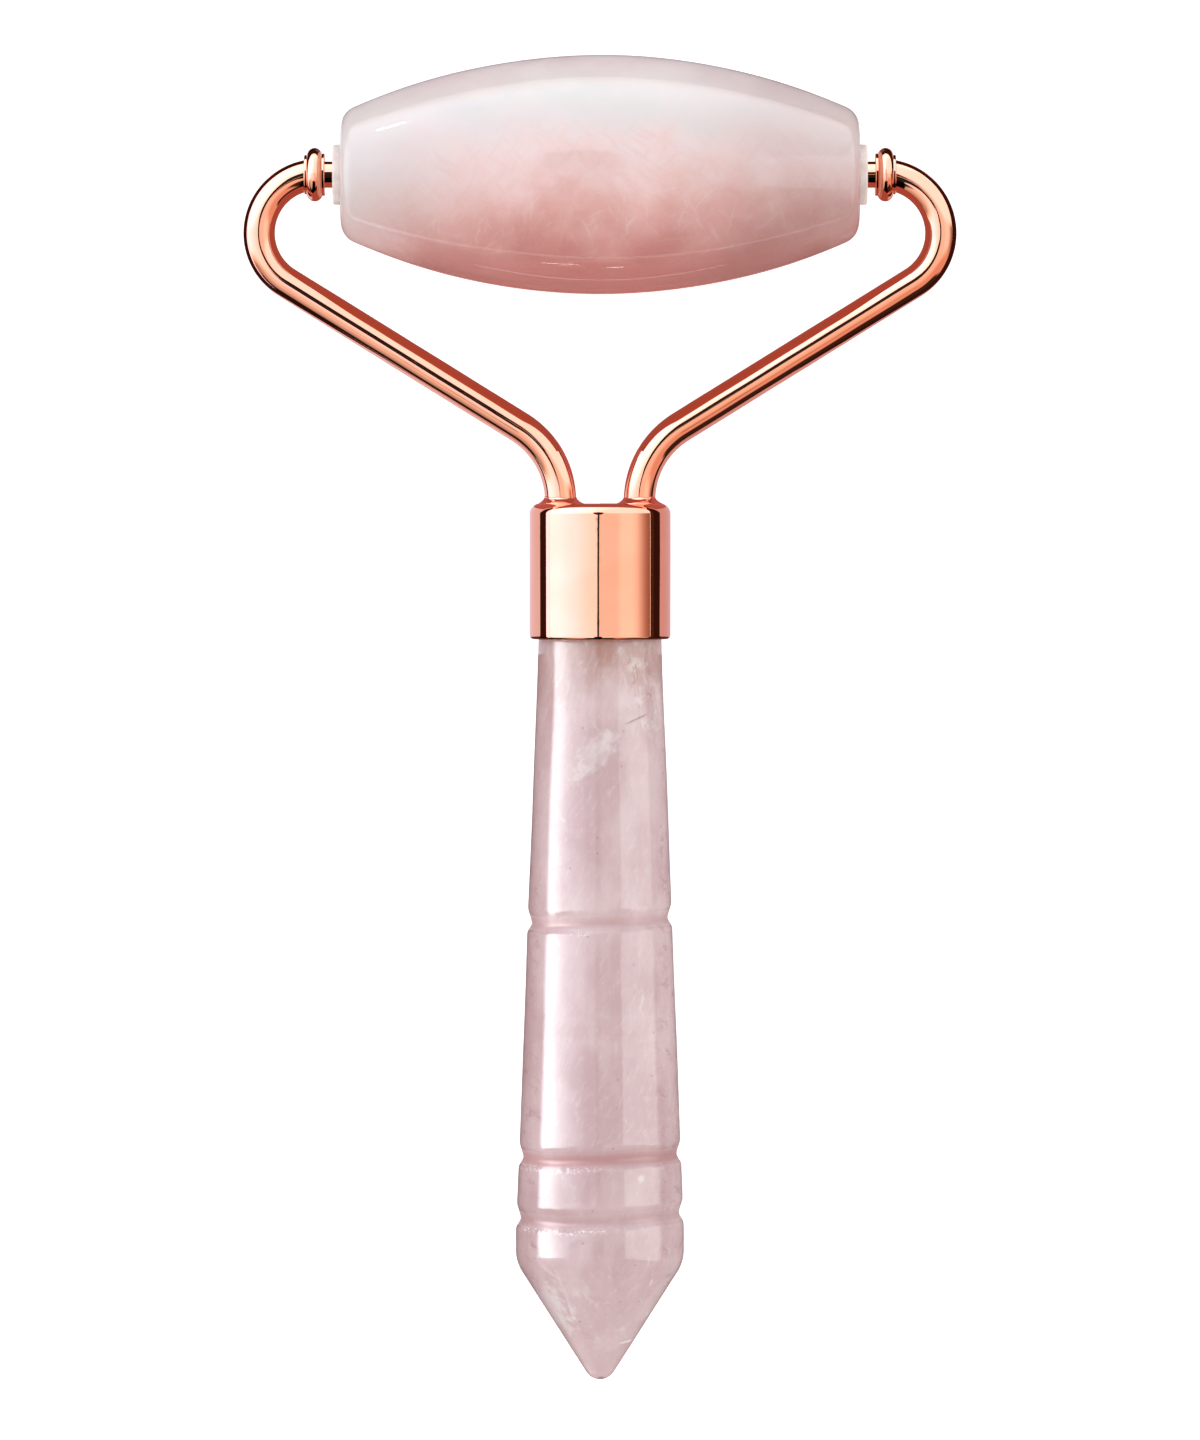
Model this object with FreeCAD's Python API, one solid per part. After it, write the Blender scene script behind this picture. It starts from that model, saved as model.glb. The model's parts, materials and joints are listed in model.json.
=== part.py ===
"""Face roller: a barrel-shaped quartz roller in a two-armed metal yoke, on a pointed quartz handle.

The tool is modelled in its own plane: the roller turns about X, the handle runs down -Y from the
roller, and Z is square to the yoke. Distances "down the handle" are measured from the roller's axis.
lay_down() then rests the whole tool on Z = 0, on the roller's belly and the handle's thickest ring,
with the origin at the bottom centre of its box. All sizes are in millimetres.
"""
import FreeCAD, Part
import math
import os

Vector = FreeCAD.Vector

# Roller stone: a barrel whose side is one long arc
STONE_LENGTH = 55.0
BELLY_RADIUS = 12.7
BARREL_ARC_RADIUS = 65.0
STONE_EDGE_ROUND = 2.3
STONE_BORE_RADIUS = 2.15
BORE_CHAMFER = 0.3

# Flanged nylon bushing, one bonded into each end of the stone
FLANGE_RADIUS = 3.2
FLANGE_THICKNESS = 0.85
FLANGE_EDGE_ROUND = 0.2
SLEEVE_RADIUS = 2.0
SLEEVE_LENGTH = 7.5
RUNNING_CLEARANCE = 0.05

# Arms: round wire, bent twice, with the upper end turned down to an axle pin
WIRE_RADIUS = 1.675
ARM_FOOT_X = 4.2
FOOT_BEND_RADIUS = 9.2
ELBOW_RADIUS = 6.2
ARM_REACH_X = 36.2
ARM_SLOPE = math.radians(31.8)
PIN_RADIUS = 1.4
PIN_END_X = 21.8
PIN_CHAMFER = 0.3

# Collar bead where the wire becomes the pin
COLLAR_X = 30.3
COLLAR_RADIUS = 2.85
COLLAR_HALF_WIDTH = 0.85
INNER_LIP_RADIUS = 2.25
OUTER_LIP_RADIUS = 2.1
LIP_WIDTH = 0.25
LIP_ROUND = 0.1

# Ferrule: the cup that takes the two arms and the handle
FERRULE_TOP = 34.9
FERRULE_LENGTH = 14.4
FERRULE_RADIUS = 7.5
FERRULE_BORE_RADIUS = 6.75
FERRULE_TOP_THICKNESS = 2.2
FERRULE_SHOULDER_ROUND = 1.1
FERRULE_RIM_ROUND = 0.35
BRAZE_FILLET = 0.75
BRAZE_EDGE = 0.1
BRAZE_SINK = 0.3

# Handle stone, as distances down the handle and radii
TENON_GAP = 0.4
TENON_RADIUS = 6.5
TENON_CHAMFER = 0.6
TAPER_START = 49.5
TAPER_START_RADIUS = 6.56
TAPER_END = 112.5
HANDLE_RADIUS = 9.0
SHOULDER_ROUND = 4.2
POINT_HALF_ANGLE = math.radians(32.6)
POINT_RADIUS = 1.74
HANDLE_TIP = 128.3
GROOVES_AT = (79.3, 104.35, 110.8)
GROOVE_TILTS = (2.2, 1.4, 2.2)
GROOVE_DEPTH = 0.47
GROOVE_WIDTH = 2.6
ADHESIVE_SETBACK = 0.3

# Worked out from the dimensions above
FERRULE_BOTTOM = FERRULE_TOP + FERRULE_LENGTH
BORE_END = FERRULE_TOP + FERRULE_TOP_THICKNESS
PIN_START_X = ARM_REACH_X - ELBOW_RADIUS
HALF_STONE = STONE_LENGTH / 2
X_AXIS = Vector(1, 0, 0)
Y_AXIS = Vector(0, 1, 0)
Z_AXIS = Vector(0, 0, 1)
CENTRE = Vector(0, 0, 0)


def line(start, end):
    """A straight edge."""
    return Part.LineSegment(start, end).toShape()


def arc(start, middle, end):
    """A circular edge through three points."""
    return Part.Arc(start, middle, end).toShape()


def turned_about_x(points):
    """A solid of revolution about X from (x, radius) corners."""
    corners = [Vector(x, radius, 0) for x, radius in points]
    outline = Part.makePolygon(corners + corners[:1])
    return Part.Face(outline).revolve(CENTRE, X_AXIS, 360)


def circular_edges(solid, radius, axis, station):
    """The round edges of one radius at one station along an axis."""
    found = []
    for edge in solid.Edges:
        curve = edge.Curve
        if isinstance(curve, Part.Circle) and abs(curve.Radius - radius) < 1e-4:
            if abs(curve.Center.dot(axis) - station) < 1e-4:
                found.append(edge)
    return found


def mirrored(shape):
    """The same piece on the other side of the tool."""
    return shape.mirror(CENTRE, X_AXIS)


def barrel_radius(x):
    """Radius of the stone's arc at a station along its axis."""
    return BELLY_RADIUS - BARREL_ARC_RADIUS + math.sqrt(BARREL_ARC_RADIUS ** 2 - x * x)


def handle_radius(station):
    """Radius of the handle's straight taper at a distance down the handle."""
    share = (station - TAPER_START) / (TAPER_END - TAPER_START)
    return TAPER_START_RADIUS + share * (HANDLE_RADIUS - TAPER_START_RADIUS)


def make_roller_stone():
    """Barrel with rounded ends, drilled right through, with chamfered mouths."""
    end_radius = barrel_radius(HALF_STONE)
    left_end = Vector(-HALF_STONE, end_radius, 0)
    right_end = Vector(HALF_STONE, end_radius, 0)
    left_foot = Vector(-HALF_STONE, 0, 0)
    right_foot = Vector(HALF_STONE, 0, 0)
    outline = Part.Wire([
        line(left_foot, left_end),
        arc(left_end, Vector(0, BELLY_RADIUS, 0), right_end),
        line(right_end, right_foot),
        line(right_foot, left_foot),
    ])
    barrel = Part.Face(outline).revolve(CENTRE, X_AXIS, 360)
    rims = circular_edges(barrel, end_radius, X_AXIS, HALF_STONE)
    rims += circular_edges(barrel, end_radius, X_AXIS, -HALF_STONE)
    barrel = barrel.makeFillet(STONE_EDGE_ROUND, rims)
    mouth = STONE_BORE_RADIUS + BORE_CHAMFER
    chamfer_start = HALF_STONE - BORE_CHAMFER
    drill = turned_about_x([
        (-HALF_STONE, 0), (-HALF_STONE, mouth), (-chamfer_start, STONE_BORE_RADIUS),
        (chamfer_start, STONE_BORE_RADIUS), (HALF_STONE, mouth), (HALF_STONE, 0),
    ])
    return barrel.cut(drill)


def make_bushing():
    """Right-hand bushing: a sleeve in the stone with a flange over its end face."""
    bore = PIN_RADIUS + RUNNING_CLEARANCE
    flange_face = HALF_STONE + FLANGE_THICKNESS
    bushing = turned_about_x([
        (HALF_STONE - SLEEVE_LENGTH, bore), (HALF_STONE - SLEEVE_LENGTH, SLEEVE_RADIUS),
        (HALF_STONE, SLEEVE_RADIUS), (HALF_STONE, FLANGE_RADIUS),
        (flange_face, FLANGE_RADIUS), (flange_face, bore),
    ])
    rim = circular_edges(bushing, FLANGE_RADIUS, X_AXIS, flange_face)
    return bushing.makeFillet(FLANGE_EDGE_ROUND, rim)


def make_bushing_adhesive():
    """Right-hand bond line between the bushing's sleeve and the stone."""
    return turned_about_x([
        (HALF_STONE - SLEEVE_LENGTH, SLEEVE_RADIUS), (HALF_STONE - SLEEVE_LENGTH, STONE_BORE_RADIUS),
        (HALF_STONE - BORE_CHAMFER, STONE_BORE_RADIUS), (HALF_STONE - BORE_CHAMFER, SLEEVE_RADIUS),
    ])


def arm_path():
    """Right arm's centreline, from the ferrule's bore up to where the pin starts."""
    along = Vector(math.cos(ARM_SLOPE), math.sin(ARM_SLOPE), 0)
    outward = Vector(math.sin(ARM_SLOPE), -math.cos(ARM_SLOPE), 0)
    elbow_centre = Vector(PIN_START_X, -ELBOW_RADIUS, 0)
    slope_top = elbow_centre + outward * ELBOW_RADIUS
    elbow_middle = elbow_centre + (outward + Y_AXIS).normalize() * ELBOW_RADIUS
    elbow_end = Vector(PIN_START_X, 0, 0)

    bend_centre_x = ARM_FOOT_X + FOOT_BEND_RADIUS
    slope_foot_x = bend_centre_x - outward.x * FOOT_BEND_RADIUS
    slope_foot = slope_top - along * ((slope_top.x - slope_foot_x) / along.x)
    bend_centre = slope_foot + outward * FOOT_BEND_RADIUS
    foot = bend_centre - X_AXIS * FOOT_BEND_RADIUS
    bend_middle = bend_centre - (outward + X_AXIS).normalize() * FOOT_BEND_RADIUS
    spigot_end = Vector(ARM_FOOT_X, -BORE_END, 0)
    return Part.Wire([
        line(spigot_end, foot),
        arc(foot, bend_middle, slope_foot),
        line(slope_foot, slope_top),
        arc(slope_top, elbow_middle, elbow_end),
    ])


def make_arm():
    """Right arm: swept wire and the axle pin turned on its end."""
    section = Part.Wire([Part.makeCircle(WIRE_RADIUS, Vector(ARM_FOOT_X, -BORE_END, 0), Y_AXIS)])
    wire = arm_path().makePipeShell([section], True, True)
    pin = turned_about_x([
        (PIN_START_X, 0), (PIN_START_X, PIN_RADIUS), (PIN_END_X + PIN_CHAMFER, PIN_RADIUS),
        (PIN_END_X, PIN_RADIUS - PIN_CHAMFER), (PIN_END_X, 0),
    ])
    return wire.fuse(pin)


def make_collar(arm):
    """Right collar: a rounded bead with a small lip on each side, bored to fit the arm."""
    round_centre = COLLAR_RADIUS - COLLAR_HALF_WIDTH
    bead = Part.makeCylinder(round_centre, 2 * COLLAR_HALF_WIDTH,
                             Vector(COLLAR_X - COLLAR_HALF_WIDTH, 0, 0), X_AXIS)
    bead = bead.fuse(Part.makeTorus(round_centre, COLLAR_HALF_WIDTH, Vector(COLLAR_X, 0, 0), X_AXIS))
    inner_face = COLLAR_X - COLLAR_HALF_WIDTH - LIP_WIDTH
    outer_face = COLLAR_X + COLLAR_HALF_WIDTH + LIP_WIDTH
    inner_lip = Part.makeCylinder(INNER_LIP_RADIUS, COLLAR_X - inner_face, Vector(inner_face, 0, 0), X_AXIS)
    outer_lip = Part.makeCylinder(OUTER_LIP_RADIUS, outer_face - COLLAR_X, Vector(COLLAR_X, 0, 0), X_AXIS)
    inner_rim = circular_edges(inner_lip, INNER_LIP_RADIUS, X_AXIS, inner_face)
    outer_rim = circular_edges(outer_lip, OUTER_LIP_RADIUS, X_AXIS, outer_face)
    inner_lip = inner_lip.makeFillet(LIP_ROUND, inner_rim)
    outer_lip = outer_lip.makeFillet(LIP_ROUND, outer_rim)
    return bead.fuse([inner_lip, outer_lip]).cut(arm)


def make_ferrule(arms):
    """Cup with a rounded shoulder, open below for the handle, drilled through the top for both arms."""
    cup = Part.makeCylinder(FERRULE_RADIUS, FERRULE_LENGTH, Vector(0, -FERRULE_BOTTOM, 0), Y_AXIS)
    cup = cup.makeFillet(FERRULE_SHOULDER_ROUND, circular_edges(cup, FERRULE_RADIUS, Y_AXIS, -FERRULE_TOP))
    cup = cup.makeFillet(FERRULE_RIM_ROUND, circular_edges(cup, FERRULE_RADIUS, Y_AXIS, -FERRULE_BOTTOM))
    bore = Part.makeCylinder(FERRULE_BORE_RADIUS, FERRULE_BOTTOM - BORE_END,
                             Vector(0, -FERRULE_BOTTOM, 0), Y_AXIS)
    return cup.cut(bore).cut(arms)


def make_braze(arm, ferrule):
    """Right braze: a hollow-sided ring of solder round the foot of the arm."""
    inner = WIRE_RADIUS - BRAZE_SINK
    neck = WIRE_RADIUS + BRAZE_EDGE
    outer = WIRE_RADIUS + BRAZE_FILLET
    sag = (outer - neck) * (1 - math.sqrt(0.5))

    def at(radius, height):
        return Vector(ARM_FOOT_X + radius, height - FERRULE_TOP, 0)

    outline = Part.Wire([
        line(at(inner, BRAZE_FILLET), at(neck, BRAZE_FILLET)),
        arc(at(neck, BRAZE_FILLET), at(neck + sag, BRAZE_EDGE + sag), at(outer, BRAZE_EDGE)),
        line(at(outer, BRAZE_EDGE), at(outer, -BRAZE_SINK)),
        line(at(outer, -BRAZE_SINK), at(inner, -BRAZE_SINK)),
        line(at(inner, -BRAZE_SINK), at(inner, BRAZE_FILLET)),
    ])
    ring = Part.Face(outline).revolve(Vector(ARM_FOOT_X, 0, 0), Y_AXIS, 360)
    return ring.cut([arm, ferrule])


def handle_blank():
    """Tenon, straight taper, rounded shoulder and blunt point, before the grooves are cut."""
    tip_centre = HANDLE_TIP - POINT_RADIUS
    cone_foot = (tip_centre + POINT_RADIUS * math.sin(POINT_HALF_ANGLE),
                 POINT_RADIUS * math.cos(POINT_HALF_ANGLE))
    corner = cone_foot[0] - (HANDLE_RADIUS - cone_foot[1]) / math.tan(POINT_HALF_ANGLE)
    run = SHOULDER_ROUND * math.tan(POINT_HALF_ANGLE / 2)
    shoulder = (corner - run, HANDLE_RADIUS)
    cone_head = (corner + run * math.cos(POINT_HALF_ANGLE),
                 HANDLE_RADIUS - run * math.sin(POINT_HALF_ANGLE))
    shoulder_middle = (shoulder[0] + SHOULDER_ROUND * math.sin(POINT_HALF_ANGLE / 2),
                       HANDLE_RADIUS - SHOULDER_ROUND * (1 - math.cos(POINT_HALF_ANGLE / 2)))
    tip_turn = (math.pi / 2 - POINT_HALF_ANGLE) / 2
    tip_middle = (tip_centre + POINT_RADIUS * math.cos(tip_turn), POINT_RADIUS * math.sin(tip_turn))
    tenon_end = BORE_END + TENON_GAP

    def at(station, radius):
        return Vector(radius, -station, 0)

    outline = Part.Wire([
        line(at(tenon_end, 0), at(tenon_end, TENON_RADIUS - TENON_CHAMFER)),
        line(at(tenon_end, TENON_RADIUS - TENON_CHAMFER), at(tenon_end + TENON_CHAMFER, TENON_RADIUS)),
        line(at(tenon_end + TENON_CHAMFER, TENON_RADIUS), at(FERRULE_BOTTOM, TENON_RADIUS)),
        line(at(FERRULE_BOTTOM, TENON_RADIUS), at(TAPER_START, TAPER_START_RADIUS)),
        line(at(TAPER_START, TAPER_START_RADIUS), at(TAPER_END, HANDLE_RADIUS)),
        line(at(TAPER_END, HANDLE_RADIUS), at(*shoulder)),
        arc(at(*shoulder), at(*shoulder_middle), at(*cone_head)),
        line(at(*cone_head), at(*cone_foot)),
        arc(at(*cone_foot), at(*tip_middle), at(HANDLE_TIP, 0)),
        line(at(HANDLE_TIP, 0), at(tenon_end, 0)),
    ])
    return Part.Face(outline).revolve(CENTRE, Y_AXIS, 360), shoulder[0]


def make_handle_stone():
    """Handle with its three ring grooves, each ground a degree or two out of square."""
    handle, shoulder_start = handle_blank()
    wheel_radius = (GROOVE_WIDTH ** 2 / 4 + GROOVE_DEPTH ** 2) / (2 * GROOVE_DEPTH)
    for station, tilt in zip(GROOVES_AT, GROOVE_TILTS):
        ring_radius = handle_radius(station) - GROOVE_DEPTH + wheel_radius
        ring = Part.makeTorus(ring_radius, wheel_radius, Vector(0, -station, 0), Y_AXIS)
        ring.rotate(Vector(0, -station, 0), Z_AXIS, tilt)
        handle = handle.cut(ring)
    return handle, shoulder_start


def make_handle_adhesive(handle):
    """Cured adhesive that fills the ferrule round the tenon, stopping just inside the rim."""
    depth = FERRULE_BOTTOM - BORE_END - ADHESIVE_SETBACK
    plug = Part.makeCylinder(FERRULE_BORE_RADIUS, depth, Vector(0, -BORE_END - depth, 0), Y_AXIS)
    return plug.cut(handle)


def lay_down(shapes, shoulder_start):
    """Tilt the tool onto the roller's belly and the handle's shoulder, then centre its box."""
    across = HANDLE_RADIUS - SHOULDER_ROUND
    drop = BELLY_RADIUS - SHOULDER_ROUND
    tilt = math.asin(drop / math.hypot(across, shoulder_start)) - math.atan2(across, shoulder_start)
    low_end = -(HANDLE_TIP - POINT_RADIUS) * math.cos(tilt) - POINT_RADIUS
    shift = Vector(0, -(BELLY_RADIUS + low_end) / 2, BELLY_RADIUS)
    for shape in shapes.values():
        shape.rotate(CENTRE, X_AXIS, math.degrees(tilt))
        shape.translate(shift)
    print("tilt %.4f deg, roller axis at y %.4f z %.4f" % (math.degrees(tilt), shift.y, shift.z))


def build():
    """Every piece by name, laid on the table."""
    right_arm = make_arm()
    left_arm = mirrored(right_arm)
    right_collar = make_collar(right_arm)
    ferrule = make_ferrule([left_arm, right_arm])
    right_braze = make_braze(right_arm, ferrule)
    bushing = make_bushing()
    bushing_adhesive = make_bushing_adhesive()
    handle, shoulder_start = make_handle_stone()
    shapes = {
        "roller_stone": make_roller_stone(),
        "left_bushing": mirrored(bushing),
        "right_bushing": bushing,
        "left_bushing_adhesive": mirrored(bushing_adhesive),
        "right_bushing_adhesive": bushing_adhesive,
        "left_arm": left_arm,
        "right_arm": right_arm,
        "left_collar": mirrored(right_collar),
        "right_collar": right_collar,
        "left_braze": mirrored(right_braze),
        "right_braze": right_braze,
        "ferrule": ferrule,
        "handle_adhesive": make_handle_adhesive(handle),
        "handle_stone": handle,
    }
    lay_down(shapes, shoulder_start)
    return shapes


os.makedirs("parts", exist_ok=True)
for name, shape in build().items():
    if not shape.isValid() or len(shape.Solids) != 1:
        raise RuntimeError("%s is not one valid solid" % name)
    shape.Solids[0].exportStep("parts/%s.step" % name)
    print("%-24s %9.2f mm3" % (name, shape.Volume))
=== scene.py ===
"""Looks for the face roller: polished rose quartz and rose gold on a pale table, seen from above.

Lengths in this script are millimetres until place() turns them into the frame's metres. The tool's own
frame has the roller's axle along X through the origin and the handle running down -Y; place() lays it
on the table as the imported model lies. "Station" means distance down the handle from the axle.
"""
import bpy
import json
import math
import numpy as np
from mathutils import Matrix, Vector


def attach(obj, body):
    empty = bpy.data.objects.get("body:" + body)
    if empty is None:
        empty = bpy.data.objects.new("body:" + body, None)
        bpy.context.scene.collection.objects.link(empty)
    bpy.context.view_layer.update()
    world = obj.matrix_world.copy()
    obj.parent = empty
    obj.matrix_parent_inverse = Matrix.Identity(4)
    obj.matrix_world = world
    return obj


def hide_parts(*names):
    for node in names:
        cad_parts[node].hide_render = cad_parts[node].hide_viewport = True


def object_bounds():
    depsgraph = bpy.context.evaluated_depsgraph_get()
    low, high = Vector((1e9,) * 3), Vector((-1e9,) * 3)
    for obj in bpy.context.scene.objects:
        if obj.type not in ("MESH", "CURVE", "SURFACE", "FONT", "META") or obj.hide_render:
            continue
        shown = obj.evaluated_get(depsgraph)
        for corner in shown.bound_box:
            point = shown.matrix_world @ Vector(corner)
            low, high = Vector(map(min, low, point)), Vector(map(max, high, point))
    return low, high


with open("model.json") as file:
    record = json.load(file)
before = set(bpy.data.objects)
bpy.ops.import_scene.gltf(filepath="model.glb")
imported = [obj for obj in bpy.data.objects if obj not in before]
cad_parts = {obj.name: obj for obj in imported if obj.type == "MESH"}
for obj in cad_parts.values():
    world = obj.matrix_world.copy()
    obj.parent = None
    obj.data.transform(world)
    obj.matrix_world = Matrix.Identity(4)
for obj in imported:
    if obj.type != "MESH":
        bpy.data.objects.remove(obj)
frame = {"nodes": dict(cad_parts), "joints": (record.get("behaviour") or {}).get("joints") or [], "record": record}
cad_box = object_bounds()

MM = 0.001
AXLE = Vector(frame["joints"][0]["pos_m"])
GRIP = next(m for m in frame["record"]["mounts"] if m["name"] == "ferrule_grip")
TILT = math.atan2(-GRIP["axis"][2], -GRIP["axis"][1])
TOOL = Matrix.Translation(AXLE) @ Matrix.Rotation(TILT, 4, "X")

# Roller stone
STONE_LENGTH = 55.0
BELLY_RADIUS = 12.7
BARREL_ARC_RADIUS = 65.0
STONE_EDGE_ROUND = 2.3
STONE_BORE_RADIUS = 2.15
BORE_CHAMFER = 0.3

# Handle stone
TENON_END = 37.5
TENON_RADIUS = 6.5
TENON_CHAMFER = 0.6
CENTRE_RING = 0.4
FERRULE_BOTTOM = 49.3
TAPER_START = 49.5
TAPER_START_RADIUS = 6.56
TAPER_END = 112.5
HANDLE_RADIUS = 9.0
SHOULDER_ROUND = 4.2
POINT_HALF_ANGLE = math.radians(32.6)
POINT_RADIUS = 1.74
HANDLE_TIP = 128.3
GROOVES_AT = (79.3, 104.35, 110.8)
GROOVE_TILTS = (2.2, 1.4, 2.2)
GROOVE_DEPTH = 0.47
GROOVE_TINT_AND_SHADE_SHARES = (0.55, 1.0, 0.5)
UPPER_FLANK = 1.55
LOWER_FLANK = 0.95
# Where each groove's lower edge is chipped and carries painted glints: (angle, half width) in degrees round the
# handle
CHIPS_AND_GLINTS = (((106, 8), (255, 12)), ((128, 40), (285, 20)), ((122, 42), (300, 25)))

# Arms and their brazes
WIRE_RADIUS = 1.675
ARM_FOOT_X = 4.2
FOOT_BEND_RADIUS = 9.2
ELBOW_RADIUS = 6.2
ARM_REACH_X = 36.2
ARM_SLOPE = math.radians(31.8)
PIN_RADIUS = 1.4
PIN_END_X = 21.8
PIN_CHAMFER = 0.3
ARM_END = 37.1
BRAZE_HEIGHT = 0.62
BRAZE_REACH = 0.72
BRAZE_SINK = 0.3

# Ferrule
FERRULE_TOP = 34.9
FERRULE_RADIUS = 7.5
FERRULE_BORE_RADIUS = 6.75
FERRULE_BORE_END = 37.1
FERRULE_SHOULDER_ROUND = 1.1
FERRULE_RIM_ROUND = 0.35
CREASE = 0.05

# Height of each of the waves that hand polishing left in a surface
STONE_RIPPLE = 0.012
HANDLE_RIPPLE = 0.014
WIRE_RIPPLE = 0.004
FERRULE_RIPPLE = 0.003

# Rose quartz
QUARTZ_IOR = 1.54


# ---------------------------------------------------------------- node trees

class Tree:
    """A node tree, with short calls for the nodes that the materials share."""

    def __init__(self, owner):
        owner.use_nodes = True
        self.tree = owner.node_tree
        self.tree.nodes.clear()

    def node(self, kind, sockets=None, **settings):
        made = self.tree.nodes.new("ShaderNode" + kind)
        for name, value in settings.items():
            setattr(made, name, value)
        for key, value in (sockets or {}).items():
            if isinstance(value, bpy.types.NodeSocket):
                self.tree.links.new(value, made.inputs[key])
            else:
                made.inputs[key].default_value = value
        return made

    def math(self, operation, *values, clamp=False):
        sockets = dict(enumerate(values))
        return self.node("Math", sockets, operation=operation, use_clamp=clamp).outputs[0]

    def add(self, *values):
        total = values[0]
        for value in values[1:]:
            total = self.math("ADD", total, value)
        return total

    def times(self, *values):
        product = values[0]
        for value in values[1:]:
            product = self.math("MULTIPLY", product, value)
        return product

    def ramp(self, value, low, high, start=0.0, end=1.0):
        """Smooth step from start to end while value goes from low to high."""
        sockets = {"Value": value, "From Min": low, "From Max": high, "To Min": start, "To Max": end}
        return self.node("MapRange", sockets, interpolation_type="SMOOTHSTEP").outputs[0]

    def scaled(self, vector, scale, turn=(0, 0, 0)):
        """A vector turned by degrees about its axes and then stretched."""
        rotation = [math.radians(a) for a in turn]
        turned = self.node("Mapping", {"Vector": vector, "Rotation": rotation}).outputs[0]
        return self.node("Mapping", {"Vector": turned, "Scale": scale}).outputs[0]

    def noise(self, vector, scale, detail=3.0, roughness=0.5, distortion=0.0):
        sockets = {"Vector": vector, "Scale": scale, "Detail": detail,
                   "Roughness": roughness, "Distortion": distortion}
        return self.node("TexNoise", sockets).outputs["Fac"]

    def warped(self, vector, scale, amount):
        """A vector pushed about by a noise, up to amount each way."""
        cloud = self.node("TexNoise", {"Vector": vector, "Scale": scale, "Detail": 2.0}).outputs["Color"]
        middle = (0.5, 0.5, 0.5)
        centred = self.node("VectorMath", {0: cloud, 1: middle}, operation="SUBTRACT").outputs[0]
        push = self.node("VectorMath", {0: centred, "Scale": 2 * amount}, operation="SCALE").outputs[0]
        return self.node("VectorMath", {0: vector, 1: push}, operation="ADD").outputs[0]

    def mix(self, share, start, end):
        """A colour between start and end."""
        sockets = {"Factor": share, "A": start, "B": end}
        made = self.node("Mix", None, data_type="RGBA")
        for name, value in sockets.items():
            place_at = [s for s in made.inputs if s.name == name and s.enabled][0]
            if isinstance(value, bpy.types.NodeSocket):
                self.tree.links.new(value, place_at)
            elif name == "Factor":
                place_at.default_value = value
            else:
                place_at.default_value = (*value, 1.0)
        return [s for s in made.outputs if s.enabled][0]

    def ramp_between(self, share, start, end):
        """A number between start and end."""
        made = self.node("Mix", None, data_type="FLOAT")
        for socket, value in zip([s for s in made.inputs if s.enabled], (share, start, end)):
            if isinstance(value, bpy.types.NodeSocket):
                self.tree.links.new(value, socket)
            else:
                socket.default_value = value
        return [s for s in made.outputs if s.enabled][0]

    def blob(self, vector, centre, radii, turn, ragged):
        """1 inside an ellipsoid turned about Z by degrees, 0 outside it, with an edge moved by ragged."""
        local = self.node("VectorMath", {0: vector, 1: centre}, operation="SUBTRACT").outputs[0]
        local = self.scaled(local, [1 / r for r in radii], (0, 0, -turn))
        reach = self.node("VectorMath", {0: local}, operation="LENGTH").outputs["Value"]
        return self.ramp(self.add(reach, ragged), 1.2, 0.5)

    def attribute(self, name):
        return self.node("Attribute", attribute_name=name, attribute_type="GEOMETRY").outputs["Fac"]

    def split(self, vector):
        parts = self.node("SeparateXYZ", {0: vector}).outputs
        return parts[0], parts[1], parts[2]

    def millimetres(self):
        """The surface's place in its piece's own frame, in millimetres."""
        place_at = self.node("TexCoord").outputs["Object"]
        return self.node("VectorMath", {0: place_at, "Scale": 1 / MM}, operation="SCALE").outputs[0]

    def bump(self, height, strength, depth_mm):
        sockets = {"Height": height, "Strength": strength, "Distance": depth_mm * MM}
        return self.node("Bump", sockets).outputs[0]

    def principled(self, **sockets):
        named = {name.replace("_", " "): value for name, value in sockets.items()}
        shader = self.node("BsdfPrincipled", named)
        self.node("OutputMaterial", {"Surface": shader.outputs[0]})
        return shader


def new_material(name):
    material = bpy.data.materials.new(name)
    return material, Tree(material)


# ---------------------------------------------------------------- materials

ROSE_GOLD = (0.97, 0.43, 0.28)
ROSE_GOLD_DEEP = (0.95, 0.38, 0.23)


def rose_gold_material(name, waviness, polish):
    """Mirror-polished plate: faint colour drift, hairlines and haze from polishing, slight waves."""
    material, t = new_material(name)
    p = t.millimetres()
    drift = t.noise(p, 0.22, 2.0)
    colour = t.mix(t.ramp(drift, 0.35, 0.7, 0.0, 0.5), ROSE_GOLD, ROSE_GOLD_DEEP)
    hairlines = t.noise(t.scaled(p, (9.0, 0.7, 9.0), (0, 0, 24)), 2.0, 4.0, 0.7)
    haze = t.noise(p, 0.8, 3.0)
    marks = t.add(t.ramp(hairlines, 0.58, 0.8, 0.0, 0.02), t.ramp(haze, 0.5, 0.8, 0.0, 0.02))
    waves = t.noise(p, 0.45, 2.0)
    t.principled(Base_Color=colour, Metallic=1.0, Roughness=t.add(polish, marks),
                 Normal=t.bump(t.times(waves, waviness), 1.0, 1.0))
    return material


WHITE_CLOUD = (0.72, 0.645, 0.64)
GREY_UNDER_HIGHLIGHT = (0.60, 0.59, 0.58)
PALE_ROSE = (0.775, 0.55, 0.53)
PAINTED_END_SHADE = (0.25, 0.14, 0.13)
ROSE = (0.62, 0.32, 0.29)
DEEP_ROSE = (0.46, 0.185, 0.165)
PAINTED_TOP_EDGE_MAUVE = (0.62, 0.48, 0.51)
END_WHITE = (0.66, 0.63, 0.62)


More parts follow.
